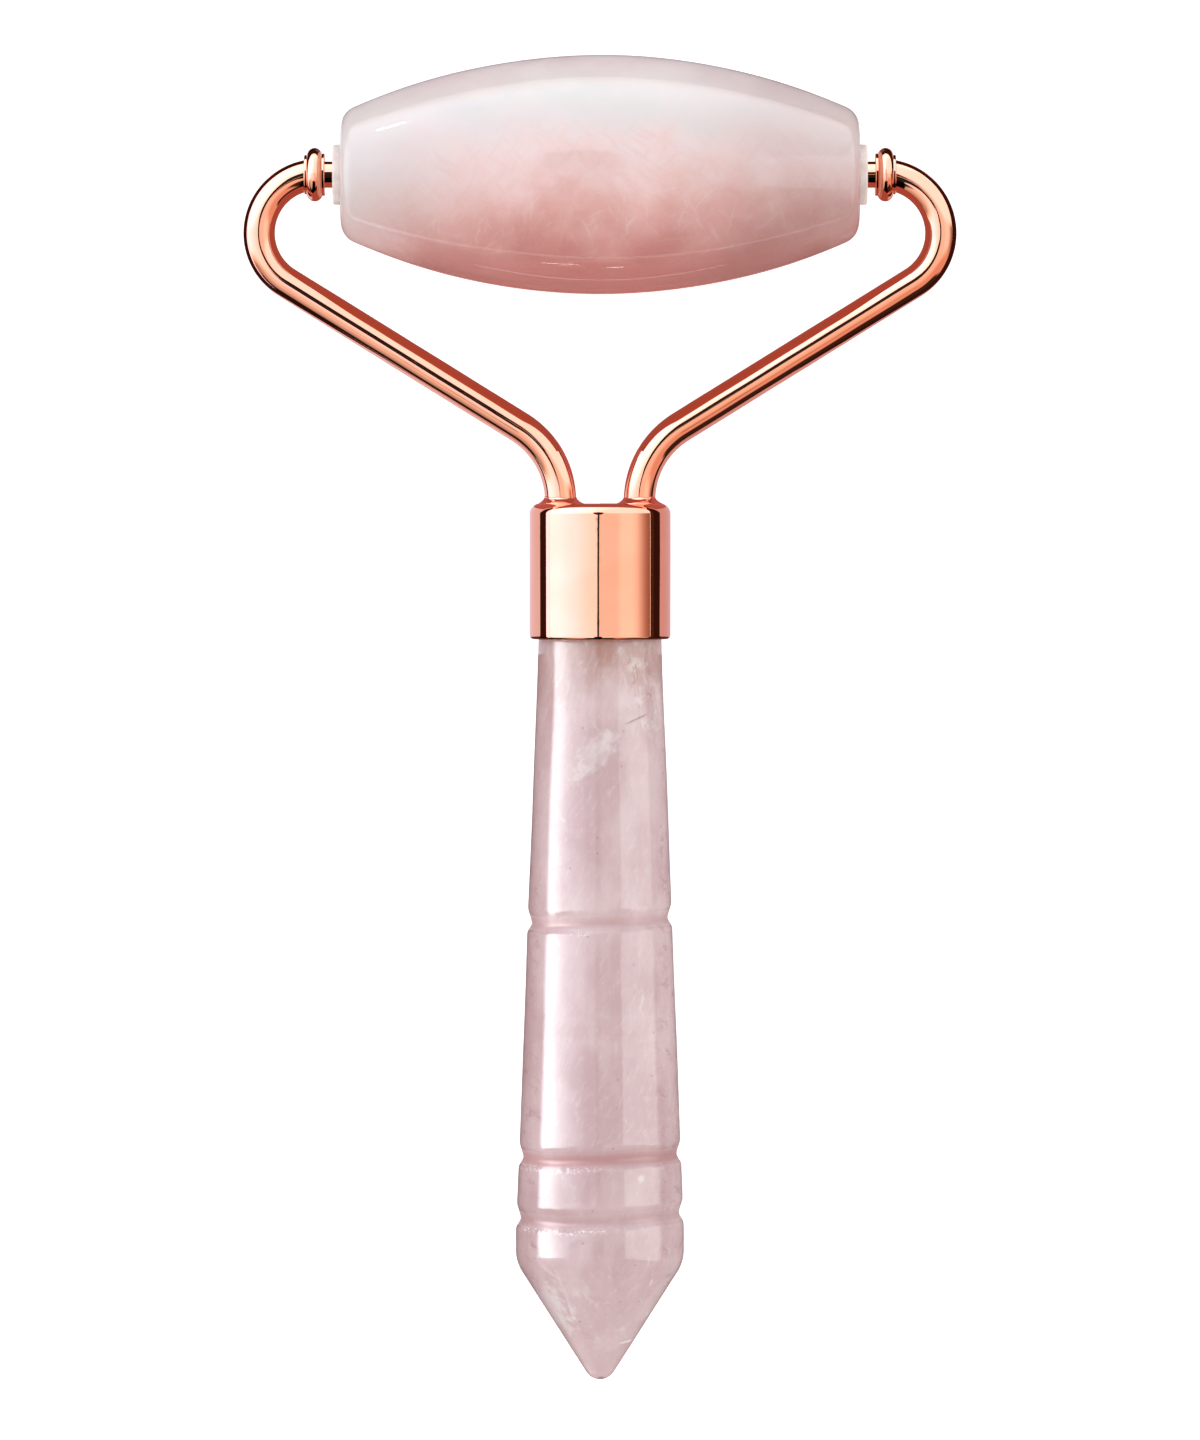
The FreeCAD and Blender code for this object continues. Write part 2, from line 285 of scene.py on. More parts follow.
def roller_quartz_material():
    """Milky rose quartz: white cloud at the ends and away from the handle, feathery needles in the pink. The
    whiter side away from the handle and the deeper rose towards it are partly the stone's own and partly painted
    light and shade; both ends carry painted shade, and the top has a painted greyish band under its highlight and
    a painted mauve reflection along its edge.
    """
    material, t = new_material("roller_quartz")
    p = t.millimetres()
    x, y, _ = t.split(t.warped(p, 0.10, 2.6))
    sag = t.times(t.times(x, x), t.ramp(x, -10, 10, -0.010, -0.003))
    height = t.math("SUBTRACT", y, sag)
    puffs = t.noise(t.warped(p, 0.3, 0.8), 0.19, 5.0, 0.55)
    level = t.add(height, t.ramp(puffs, 0.3, 0.7, -1.5, 1.5))
    # Whiter on the side away from the handle, toward the back light, and deeper rose towards the handle: partly
    # the stone's own milkiness, partly painted light and painted shade.
    milk_and_painted_light = t.ramp(level, -3.8, 9.5)
    blush_and_painted_shade = t.ramp(level, -8.3, 4.0)
    drift = t.ramp(t.noise(p, 0.15, 4.0, 0.5), 0.3, 0.7, -1.0, 1.0)
    depth = t.ramp(t.add(height, drift), -3.0, -10.5)
    colour = t.mix(blush_and_painted_shade, t.mix(depth, ROSE, DEEP_ROSE), PALE_ROSE)
    colour = t.mix(milk_and_painted_light, colour, WHITE_CLOUD)

    bent = t.warped(p, 0.14, 1.8)
    needles = 0.0
    for turn, pitch in ((44, 1.7), (-34, 1.5), (74, 1.9), (12, 2.1)):
        lying = t.scaled(bent, (1.0, 0.12, 0.3), (0, 0, turn))
        needles = t.math("MAXIMUM", needles, t.noise(lying, pitch, 4.0, 0.6))
    in_pink = t.times(t.ramp(height, 7.0, 0.0), t.ramp(height, -9.5, -3.5, 0.1, 1.0))
    colour = t.mix(t.times(t.ramp(needles, 0.56, 0.76, 0.0, 0.31), in_pink), colour, WHITE_CLOUD)
    steep = t.noise(t.scaled(bent, (1.0, 0.12, 0.3), (0, 0, -52)), 1.5, 5.0, 0.65)
    shallow = t.noise(t.scaled(bent, (1.0, 0.16, 0.3), (0, 0, 36)), 1.2, 5.0, 0.65)
    pink_needles = t.math("MAXIMUM", steep, shallow)
    around_edge = t.times(t.ramp(height, 9.5, 2.0), t.ramp(height, -9.0, -4.0))
    colour = t.mix(t.times(t.ramp(pink_needles, 0.45, 0.74, 0.0, 0.20), around_edge), colour, ROSE)

    from_top = t.add(y, t.times(x, x, 0.0077))
    ends = t.ramp(t.math("ABSOLUTE", x), 12.0, 24.0, 1.0, 0.35)
    # Painted with the highlight: a greyish band along the top, under the back light's highlight, so that the
    # highlight reads neutral white; less of it at the ends.
    grey_under_highlight = t.times(t.ramp(y, 3.5, 8.0), t.ramp(from_top, 11.5, 8.5, 0.3, 1.0),
                   t.ramp(puffs, 0.35, 0.65, 0.5, 0.85), ends)
    colour = t.mix(grey_under_highlight, colour, GREY_UNDER_HIGHLIGHT)
    # Painted reflection: a mauve band following the barrel's top edge, for the dimmer surroundings that this edge
    # mirrors.
    top = t.ramp(from_top, 8.0, 12.5, 0.0, 0.6)
    colour = t.mix(t.times(top, t.ramp(puffs, 0.35, 0.65, 0.4, 1.0)), colour, PAINTED_TOP_EDGE_MAUVE)
    pale_end = t.times(t.ramp(x, -14.0, -26.0, 0.0, 0.55), t.ramp(y, -9.0, -1.0))
    colour = t.mix(pale_end, colour, END_WHITE)
    # Painted shade: both ends of the barrel darkened, the right end more, and most on the side towards the handle.
    lower = t.ramp(y, 3.0, -5.0)
    right_end = t.times(t.ramp(x, 4.0, 22.0), t.add(0.26, t.times(lower, 0.22)))
    left_end = t.times(t.ramp(x, -6.0, -22.0), t.add(0.08, t.times(lower, 0.18)))
    colour = t.mix(t.add(right_end, left_end), colour, PAINTED_END_SHADE)
    t.principled(Base_Color=colour, Roughness=t.ramp(puffs, 0.3, 0.8, 0.03, 0.06),
                 IOR=QUARTZ_IOR, Specular_IOR_Level=0.3, Subsurface_Weight=0.55,
                 Subsurface_Radius=(1.0, 0.62, 0.58), Subsurface_Scale=0.6 * MM,
                 Normal=t.bump(t.noise(p, 0.35, 2.0), 1.0, 0.02))
    return material


MAUVE_GREY = (0.52, 0.365, 0.378)
PALE_VEIL = (0.64, 0.50, 0.507)
WHITE_VEIL = (0.72, 0.655, 0.65)
GROOVE_PINK_AND_SHADE = (0.46, 0.235, 0.235)
FERRULE_REFLECTION_BROWN = (0.45, 0.285, 0.245)
CRACK_BROWN = (0.30, 0.16, 0.14)
SHADE_BROWN = (0.42, 0.22, 0.18)
MOTTLED_SIDE_SHADE = (0.42, 0.23, 0.24)
SIDE_SHADE = (0.34, 0.20, 0.21)
LOWER_SHADE = (0.40, 0.25, 0.25)
TIP_BROWN = (0.16, 0.09, 0.09)
STREAK_WHITE = (0.82, 0.78, 0.78)
SPOT_WHITE = (0.86, 0.82, 0.81)
FROST_AND_GLINT_WHITE = (0.95, 0.92, 0.92)


def handle_quartz_material():
    """Clearer, greyer rose quartz: veils, bands and specks, cracks by the ferrule, frosted grooves. Painted in as
    well: a warm reflection of the ferrule with shade beside it, mottled shade down both sides, shade in the
    grooves and glints along their chipped lower edges.
    """
    material, t = new_material("handle_quartz")
    p = t.millimetres()
    x, y, z = t.split(p)
    station = t.times(y, -1.0)
    veils = t.noise(t.scaled(p, (1.0, 0.5, 1.0)), 0.17, 5.0, 0.6)
    bands = t.noise(t.scaled(t.warped(p, 0.2, 1.6), (0.20, 1.0, 0.20)), 0.35, 4.0, 0.6)
    pale = t.add(t.ramp(veils, 0.36, 0.66, 0.0, 0.75), t.ramp(bands, 0.45, 0.72, 0.0, 0.25))
    colour = t.mix(pale, MAUVE_GREY, PALE_VEIL)
    ragged = t.noise(p, 0.9, 5.0, 0.65)
    # Painted reflection and shade: a warm tint just below the ferrule, for the rose gold seen in and through the
    # stone and the darker band beside it.
    ferrule_reflection_brown = t.ramp(t.add(station, t.ramp(veils, 0.3, 0.7, -3.0, 3.0)), 59.0, 48.5, 0.0, 0.8)
    colour = t.mix(ferrule_reflection_brown, colour, FERRULE_REFLECTION_BROWN)

    feathers = t.noise(t.scaled(t.warped(p, 0.5, 0.5), (1.0, 0.2, 1.0), (0, 0, 48)), 1.6, 4.0, 0.6)
    veil = t.blob(p, (-0.6, -61.4, 7.2), (3.4, 1.5, 3.0), 48, t.ramp(ragged, 0.3, 0.7, -0.3, 0.3))
    colour = t.mix(t.times(veil, t.ramp(feathers, 0.35, 0.6, 0.3, 0.65)), colour, WHITE_VEIL)
    shade = t.blob(p, (0.6, -49.9, 6.4), (1.1, 2.6, 3.0), 0, t.ramp(ragged, 0.3, 0.7, -0.2, 0.2))
    colour = t.mix(t.times(shade, 0.6), colour, SHADE_BROWN)

    shattered = t.blob(p, (4.4, -54.0, 5.0), (2.4, 5.6, 4.5), 8, t.ramp(ragged, 0.3, 0.7, -0.4, 0.4))
    folds = t.noise(t.scaled(p, (1.0, 0.6, 1.0), (0, 0, -25)), 0.42, 3.0, 0.55, 0.6)
    off_fold = t.math("ABSOLUTE", t.math("SUBTRACT", folds, 0.5))
    glassy = t.times(shattered, t.ramp(t.noise(p, 0.55, 3.0), 0.46, 0.70, 0.0, 0.55))
    colour = t.mix(glassy, colour, WHITE_VEIL)
    broken = t.ramp(ragged, 0.40, 0.58)
    cracks = t.times(shattered, broken, t.ramp(off_fold, 0.016, 0.003, 0.0, 0.6))
    colour = t.mix(cracks, colour, CRACK_BROWN)
    low_crack = t.blob(p, (4.0, -57.6, 6.0), (1.7, 0.16, 3.0), 24, t.ramp(ragged, 0.3, 0.7, -0.3, 0.3))
    colour = t.mix(t.times(low_crack, 0.55), colour, CRACK_BROWN)

    wisps = t.noise(t.scaled(p, (1.0, 0.35, 1.0), (0, 0, -20)), 0.8, 4.0, 0.6)
    wispy = t.add(wisps, t.ramp(station, 112.0, 118.0, 0.0, 0.07))
    colour = t.mix(t.ramp(wispy, 0.62, 0.78, 0.0, 0.6), colour, WHITE_VEIL)
    fibres = t.noise(t.scaled(t.warped(p, 0.3, 0.6), (1.0, 0.28, 1.0), (0, 0, 24)), 2.0, 5.0, 0.7)
    colour = t.mix(t.ramp(fibres, 0.5, 0.75, 0.0, 0.30), colour, WHITE_VEIL)
    cone_veil = t.blob(p, (-5.4, -120.6, 5.0), (2.3, 3.6, 5.0), 30, t.ramp(ragged, 0.3, 0.7, -0.4, 0.4))
    colour = t.mix(t.times(cone_veil, 0.75), colour, WHITE_VEIL)
    cone_streak = t.blob(p, (3.1, -124.0, 3.6), (1.2, 0.16, 3.0), 8, t.ramp(ragged, 0.3, 0.7, -0.3, 0.3))
    colour = t.mix(t.times(cone_streak, 0.7), colour, STREAK_WHITE)
    spot = t.blob(p, (4.4, -106.2, 7.7), (0.5, 0.55, 2.0), 0, t.ramp(ragged, 0.3, 0.7, -0.3, 0.3))
    colour = t.mix(t.times(spot, 0.45), colour, SPOT_WHITE)
    tip_dot = t.blob(p, (0.1, -128.2, 0.6), (0.5, 0.4, 0.9), 0, 0.0)
    colour = t.mix(t.times(tip_dot, 0.7), colour, TIP_BROWN)
    # Painted shade: mottled darkening down both sides of the handle as seen from above.
    side_shade_mottle = t.noise(t.scaled(p, (1.0, 1.6, 1.0), (0, 0, 15)), 0.45, 5.0, 0.7)
    at_sides = t.ramp(t.math("ABSOLUTE", x), 5.2, 7.2)
    colour = t.mix(t.times(at_sides, t.ramp(side_shade_mottle, 0.52, 0.70, 0.0, 0.7)), colour, MOTTLED_SIDE_SHADE)
    past_grooves = t.ramp(t.add(station, t.times(x, 0.4)), 103.0, 106.0, 0.0, 0.16)
    colour = t.mix(past_grooves, colour, LOWER_SHADE)
    across = t.math("DIVIDE", x, t.math("SQRT", t.add(t.times(x, x), t.times(z, z), 0.01)))
    colour = t.mix(t.ramp(across, -0.70, -1.0, 0.0, 0.5), colour, SIDE_SHADE)
    specks = t.node("TexVoronoi", {"Vector": p, "Scale": 0.42}).outputs["Distance"]
    colour = t.mix(t.ramp(specks, 0.075, 0.045, 0.0, 0.35), colour, CRACK_BROWN)

    groove = t.attribute("groove")
    # Partly the cut's own pinker tone, partly painted shade in the grooves' hollows.
    colour = t.mix(t.ramp(t.attribute("groove_tint"), 0.1, 0.95, 0.0, 0.8), colour, GROOVE_PINK_AND_SHADE)
    # Partly the chips' own frosting, partly painted glints along the chipped lower edges.
    frost_and_glints = t.times(t.attribute("chipped"), t.ramp(t.noise(p, 3.2, 4.0, 0.65), 0.52, 0.64, 0.0, 0.7))
    colour = t.mix(frost_and_glints, colour, FROST_AND_GLINT_WHITE)
    polish = t.ramp(veils, 0.3, 0.8, 0.05, 0.09)
    roughness = t.add(polish, t.ramp(groove, 0.1, 0.6, 0.0, 0.3))
    t.principled(Base_Color=colour, Roughness=roughness,
                 IOR=QUARTZ_IOR, Specular_IOR_Level=0.3, Subsurface_Weight=0.5,
                 Subsurface_Radius=(1.0, 0.7, 0.68), Subsurface_Scale=0.8 * MM,
                 Normal=t.bump(t.noise(p, 0.4, 2.0), 1.0, 0.02))
    return material


def white_nylon_material():
    """Moulded natural nylon: waxy, slightly mottled, with faint turning marks."""
    material, t = new_material("white_nylon")
    p = t.millimetres()
    mottle = t.noise(p, 0.9, 3.0)
    colour = t.mix(t.ramp(mottle, 0.35, 0.7), (0.72, 0.63, 0.59), (0.80, 0.74, 0.70))
    t.principled(Base_Color=colour, Roughness=t.ramp(mottle, 0.3, 0.7, 0.30, 0.42),
                 Subsurface_Weight=0.5, Subsurface_Radius=(1.0, 0.8, 0.7), Subsurface_Scale=0.8 * MM,
                 Normal=t.bump(t.noise(p, 4.0, 2.0), 0.4, 0.01))
    return material


def adhesive_material():
    """Cured clear adhesive gone slightly amber, with tiny bubbles."""
    material, t = new_material("adhesive")
    p = t.millimetres()
    bubbles = t.node("TexVoronoi", {"Vector": p, "Scale": 2.2}).outputs["Distance"]
    colour = t.mix(t.ramp(t.noise(p, 0.7, 3.0), 0.35, 0.7), (0.72, 0.63, 0.48), (0.82, 0.76, 0.62))
    t.principled(Base_Color=colour, Roughness=t.ramp(bubbles, 0.1, 0.3, 0.4, 0.22),
                 Subsurface_Weight=0.4, Subsurface_Radius=(1.0, 0.8, 0.5), Subsurface_Scale=0.6 * MM,
                 Normal=t.bump(t.ramp(bubbles, 0.08, 0.2), 0.5, 0.03))
    return material


# ---------------------------------------------------------------- meshes

def place(mesh, name, material, body, node):
    """Puts a mesh made in the tool's own frame on its body, standing for a CAD node."""
    mesh.transform(Matrix.Scale(MM, 4))
    mesh.shade_smooth()
    mesh.materials.append(material)
    piece = bpy.data.objects.new(name, mesh)
    bpy.context.scene.collection.objects.link(piece)
    piece.matrix_world = TOOL
    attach(piece, body)
    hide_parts(node)
    return piece


def grid_faces(rings, segments, closed):
    """Quads between rings of a turned surface; closed joins the last ring to the first."""
    faces = []
    for i in range(rings if closed else rings - 1):
        a = i * segments
        b = (i + 1) % rings * segments
        for j in range(segments):
            k = (j + 1) % segments
            faces.append((a + j, a + k, b + k, b + j))
    return faces


def end_faces(rings, segments):
    """Fans over both ends of a turned surface whose last two vertices are its ends' middles."""
    first_middle = rings * segments
    last_ring = first_middle - segments
    faces = []
    for j in range(segments):
        k = (j + 1) % segments
        faces.append((first_middle, k, j))
        faces.append((first_middle + 1, last_ring + j, last_ring + k))
    return faces


def ring_angles(segments):
    return np.linspace(0, 2 * math.pi, segments, endpoint=False)


def turned_mesh(name, station, radius, angle, ends):
    """A closed surface turned about the handle's axis; ends are the stations of its two end faces."""
    xyz = np.stack([radius * np.cos(angle), -station + 0 * angle, radius * np.sin(angle)], -1)
    verts = xyz.reshape(-1, 3).tolist() + [(0, -end, 0) for end in ends]
    rings, segments = radius.shape
    mesh = bpy.data.meshes.new(name)
    mesh.from_pydata(verts, [], grid_faces(rings, segments, False) + end_faces(rings, segments))
    return mesh


def arc_points(centre, radius, start, end, count):
    """Points along an arc, by angle in radians, without its first point."""
    return [(centre[0] + radius * math.cos(a), centre[1] + radius * math.sin(a))
            for a in np.linspace(start, end, count + 1)[1:]]


def barrel_radius(x):
    return BELLY_RADIUS - BARREL_ARC_RADIUS + math.sqrt(BARREL_ARC_RADIUS ** 2 - x * x)


def stone_edge():
    """Centre and angles of the round between the barrel's arc and its end face."""
    half = STONE_LENGTH / 2
    centre_x = half - STONE_EDGE_ROUND
    inner_arc = BARREL_ARC_RADIUS - STONE_EDGE_ROUND
    centre_r = BELLY_RADIUS - BARREL_ARC_RADIUS + math.sqrt(inner_arc ** 2 - centre_x ** 2)
    lean = math.asin(centre_x / inner_arc)
    return (centre_x, centre_r), math.pi / 2 - lean


def half_stone_outline():
    """(x, radius) from the middle of the bore out to the middle of the barrel, on the right side."""
    half = STONE_LENGTH / 2
    centre, start = stone_edge()
    points = [(x, STONE_BORE_RADIUS) for x in np.linspace(0, half - BORE_CHAMFER, 12)]
    points += [(half, STONE_BORE_RADIUS + BORE_CHAMFER)]
    points += [(half, r) for r in np.linspace(STONE_BORE_RADIUS + BORE_CHAMFER, centre[1], 14)[1:]]
    points += arc_points(centre, STONE_EDGE_ROUND, 0, start, 14)
    barrel_end = points[-1][0]
    points += [(x, barrel_radius(x)) for x in np.linspace(barrel_end, 0, 70)[1:]]
    return points


def roller_stone_mesh(segments=224):
    """Barrel with a drilled bore. Its hand-polished side sinks by a few hundredths here and there."""
    right = half_stone_outline()
    outline = right + [(-x, r) for x, r in right[::-1][1:-1]]
    along = np.array([p[0] for p in outline])[:, None]
    radius = np.array([p[1] for p in outline])[:, None]
    angle = ring_angles(segments)[None, :]
    side = np.clip((radius - 5.0) / 3.0, 0, 1)
    ripple = (np.sin(2 * angle + 0.09 * along + 0.6) + np.sin(3 * angle - 0.16 * along + 2.1)
              + 0.6 * np.sin(5 * angle + 0.23 * along) + np.sin(0.31 * along + 1.3) - 3.6)
    radius = radius + STONE_RIPPLE * side * ripple
    xyz = np.stack([along + 0 * angle, radius * np.cos(angle), radius * np.sin(angle)], -1)
    faces = [face[::-1] for face in grid_faces(len(outline), segments, True)]
    mesh = bpy.data.meshes.new("roller_stone_look")
    mesh.from_pydata(xyz.reshape(-1, 3).tolist(), [], faces)
    return mesh


def handle_taper(station):
    share = (station - TAPER_START) / (TAPER_END - TAPER_START)
    return TAPER_START_RADIUS + share * (HANDLE_RADIUS - TAPER_START_RADIUS)


def handle_outline():
    """(station, radius) from the tenon's end face to the point, without the grooves."""
    tip_centre = HANDLE_TIP - POINT_RADIUS
    foot = (tip_centre + POINT_RADIUS * math.sin(POINT_HALF_ANGLE),
            POINT_RADIUS * math.cos(POINT_HALF_ANGLE))
    corner = foot[0] - (HANDLE_RADIUS - foot[1]) / math.tan(POINT_HALF_ANGLE)
    run = SHOULDER_ROUND * math.tan(POINT_HALF_ANGLE / 2)
    shoulder = corner - run
    points = [(TENON_END, r) for r in np.linspace(CENTRE_RING, TENON_RADIUS - TENON_CHAMFER, 8)]
    points += [(s, TENON_RADIUS) for s in np.linspace(TENON_END + TENON_CHAMFER, FERRULE_BOTTOM, 12)]
    stations = [TAPER_START]
    while stations[-1] < TAPER_END:
        near = min(abs(stations[-1] - g) for g in GROOVES_AT)
        stations.append(stations[-1] + (0.11 if near < 2.3 else 0.45))
    points += [(s, handle_taper(s)) for s in stations[:-1]]
    points += [(s, HANDLE_RADIUS) for s in np.linspace(TAPER_END, shoulder, 5)]
    points += arc_points((shoulder, HANDLE_RADIUS - SHOULDER_ROUND), SHOULDER_ROUND,
                         math.pi / 2, math.pi / 2 - POINT_HALF_ANGLE, 14)
    top = points[-1]
    points += [(top[0] + q * (foot[0] - top[0]), top[1] + q * (foot[1] - top[1]))
               for q in np.linspace(0, 1, 30)[1:]]
    points += arc_points((tip_centre, 0), POINT_RADIUS, math.pi / 2 - POINT_HALF_ANGLE, 0.12, 10)
    return points


def groove_depth(offset, sharp=0.16, lip=0.12):
    """How deep a groove is at an offset down the handle from its bottom, as a share of its depth."""
    flank = np.where(offset < 0, -offset / UPPER_FLANK, offset / LOWER_FLANK)
    rounded = np.sqrt(flank ** 2 + sharp ** 2)
    depth = 0.5 * ((1 - rounded) + np.sqrt((1 - rounded) ** 2 + lip ** 2))
    deepest = 0.5 * ((1 - sharp) + math.sqrt((1 - sharp) ** 2 + lip ** 2))
    return np.clip(depth / deepest - 0.02, 0, 1)


def chipping(angle, seed):
    """A rough edge round the handle, -1 to 1, from waves of uneven pitch."""
    rng = np.random.default_rng(seed)
    total = np.zeros_like(angle)
    for pitch in (7, 13, 22, 37, 55, 83):
        total += rng.uniform(0.4, 1.0) * np.sin(pitch * angle + rng.uniform(0, 6.28)) / pitch ** 0.3
    return total / 1.6


def handle_stone_mesh(segments=256):
    """Taper, grooves and point. Grooves wander a little and their lower edges are finely chipped."""
    outline = handle_outline()
    station = np.array([p[0] for p in outline])[:, None]
    radius = np.array([p[1] for p in outline])[:, None]
    angle = ring_angles(segments)[None, :]
    cut = np.zeros((len(outline), segments))
    tint = np.zeros_like(cut)
    chipped = np.zeros_like(cut)
    for number, (centre, tilt) in enumerate(zip(GROOVES_AT, GROOVE_TILTS)):
        lean = handle_taper(centre) * math.tan(math.radians(tilt)) * np.cos(angle)
        wander = 0.05 * np.sin(3 * angle + number) + 0.03 * np.sin(8 * angle + 2.3 * number)
        offset = station - (centre - lean + wander)
        share = groove_depth(offset * (1 + 0.06 * chipping(angle, 20 + number)))
        lower_edge = np.exp(-((offset - LOWER_FLANK * 0.9) / 0.26) ** 2)
        where = sum(np.exp(-((np.degrees(angle) - at) / half) ** 4) for at, half in CHIPS_AND_GLINTS[number])
        chips = np.clip(chipping(angle, 40 + number) + 0.15, 0, 1) * lower_edge * where
        cut = np.maximum(cut, share + 0.35 * chips)
        # Each groove's share of that pink tone and painted shade.
        tint = np.maximum(tint, GROOVE_TINT_AND_SHADE_SHARES[number] * share)
        # Where the chipped lower edges carry painted glints as well as chips.
        chipped = np.maximum(chipped, np.clip(1.3 * lower_edge * where, 0, 1))
    side = np.clip((station - FERRULE_BOTTOM) / 3.0, 0, 1) * np.clip((HANDLE_TIP - station) / 6.0, 0, 1)
    ripple = (np.sin(2 * angle + 0.11 * station) + np.sin(3 * angle - 0.19 * station + 1.1)
              + 0.7 * np.sin(0.41 * station + 0.8) + 0.5 * np.sin(5 * angle + 0.3 * station) - 3.2)
    radius = radius + HANDLE_RIPPLE * side * ripple - GROOVE_DEPTH * cut
    mesh = turned_mesh("handle_stone_look", station, radius, angle, (TENON_END, HANDLE_TIP))
    for name, values in (("groove", cut), ("groove_tint", tint), ("chipped", chipped)):
        layer = mesh.attributes.new(name, "FLOAT", "POINT")
        layer.data.foreach_set("value", np.append(values.ravel(), [0, 0]).astype(np.float32))
    return mesh


def arm_centreline():
    """(point, tangent, radius) along the right arm, from its pin's end to its foot in the ferrule."""
    elbow = Vector((ARM_REACH_X - ELBOW_RADIUS, -ELBOW_RADIUS))
    down_slope = Vector((-math.cos(ARM_SLOPE), -math.sin(ARM_SLOPE)))
    outward = Vector((math.sin(ARM_SLOPE), -math.cos(ARM_SLOPE)))
    left = Vector((-1, 0))
    right = Vector((1, 0))
    line = [(Vector((PIN_END_X, 0)), right, PIN_RADIUS - PIN_CHAMFER)]
    line += [(Vector((x, 0)), right, PIN_RADIUS)
             for x in np.linspace(PIN_END_X + PIN_CHAMFER, elbow.x - 0.01, 12)]
    for angle in np.linspace(math.pi / 2, ARM_SLOPE - math.pi / 2, 90):
        spoke = Vector((math.cos(angle), math.sin(angle)))
        line.append((elbow + spoke * ELBOW_RADIUS, Vector((spoke.y, -spoke.x)), WIRE_RADIUS))
    slope_top = elbow + outward * ELBOW_RADIUS
    bend_x = ARM_FOOT_X + FOOT_BEND_RADIUS
    length = (slope_top.x - (bend_x - outward.x * FOOT_BEND_RADIUS)) / math.cos(ARM_SLOPE)
    line += [(slope_top + down_slope * d, down_slope, WIRE_RADIUS)
             for d in np.linspace(0, length, 140)[1:]]
    bend = slope_top + down_slope * length + outward * FOOT_BEND_RADIUS
    for angle in np.linspace(math.pi / 2 + ARM_SLOPE, math.pi, 44)[1:]:
        spoke = Vector((math.cos(angle), math.sin(angle)))
        line.append((bend + spoke * FOOT_BEND_RADIUS, Vector((-spoke.y, spoke.x)), WIRE_RADIUS))
    foot = Vector((ARM_FOOT_X, -ARM_END))
    line.append((foot, Vector((0, -1)), WIRE_RADIUS))
    return line


def arm_mesh(name, side, segments=96):
    """Bent wire with its axle pin. Bending and polishing left the wire's skin a few microns uneven."""
    verts = []
    line = arm_centreline()
    angle = ring_angles(segments)
    gone = 0.0
    before = line[0][0]
    for point, tangent, radius in line:
        gone += (point - before).length
        before = point
        ripple = (np.sin(0.52 * gone + 0.8) * np.sin(2 * angle + side)
                  + 0.7 * np.sin(0.9 * gone + 3 * angle))
        r = radius + (WIRE_RIPPLE * ripple if radius == WIRE_RADIUS else 0 * ripple)
        across = Vector((tangent.y, -tangent.x))
        verts += [(side * (point.x + across.x * r[j] * math.cos(a)),
                   point.y + across.y * r[j] * math.cos(a),
                   r[j] * math.sin(a)) for j, a in enumerate(angle)]
    faces = grid_faces(len(line), segments, False) + end_faces(len(line), segments)
    start, end = line[0][0], line[-1][0]
    verts += [(side * start.x, start.y, 0), (side * end.x, end.y, 0)]
    if side > 0:
        faces = [face[::-1] for face in faces]
    mesh = bpy.data.meshes.new(name)
    mesh.from_pydata(verts, [], faces)
    return mesh


def ferrule_outline():
    """(station, radius) from the middle of the ferrule's top, down its outside and up its bore."""
    shoulder = FERRULE_TOP + FERRULE_SHOULDER_ROUND
    rim = FERRULE_BOTTOM - FERRULE_RIM_ROUND
    flat_top = FERRULE_RADIUS - FERRULE_SHOULDER_ROUND
    points = [(FERRULE_TOP, r) for r in np.linspace(CENTRE_RING, flat_top - CREASE, 12)]
    points += [(FERRULE_TOP, flat_top)]
    points += arc_points((shoulder, flat_top), FERRULE_SHOULDER_ROUND, math.pi, math.pi / 2, 24)
    points += [(s, FERRULE_RADIUS) for s in np.linspace(shoulder + CREASE, rim - CREASE, 40)]
    points += [(rim, FERRULE_RADIUS)]
    rim_centre = (rim, FERRULE_RADIUS - FERRULE_RIM_ROUND)
    points += arc_points(rim_centre, FERRULE_RIM_ROUND, math.pi / 2, 0, 12)
    points += [(FERRULE_BOTTOM, FERRULE_BORE_RADIUS + CREASE), (FERRULE_BOTTOM, FERRULE_BORE_RADIUS)]
    points += [(s, FERRULE_BORE_RADIUS)
               for s in np.linspace(FERRULE_BOTTOM - CREASE, FERRULE_BORE_END + CREASE, 12)]
    points += [(FERRULE_BORE_END, FERRULE_BORE_RADIUS), (FERRULE_BORE_END, FERRULE_BORE_RADIUS - CREASE)]
    return points + [(FERRULE_BORE_END, r) for r in (5.0, 3.0, 1.0)]


def ferrule_mesh(segments=288):
    """Drawn cup with a rounded shoulder. Buffing left its outside out of round by a few microns."""
    outline = ferrule_outline()
    station = np.array([p[0] for p in outline])[:, None]
    radius = np.array([p[1] for p in outline])[:, None]
    angle = ring_angles(segments)[None, :]
    outside = np.clip((radius - 6.9) / 0.5, 0, 1)
    ripple = np.sin(3 * angle + 0.5 * station) + np.sin(5 * angle - 0.3 * station)
    radius = radius + FERRULE_RIPPLE * outside * ripple
    return turned_mesh("ferrule_look", station, radius, angle, (FERRULE_TOP, FERRULE_BORE_END))


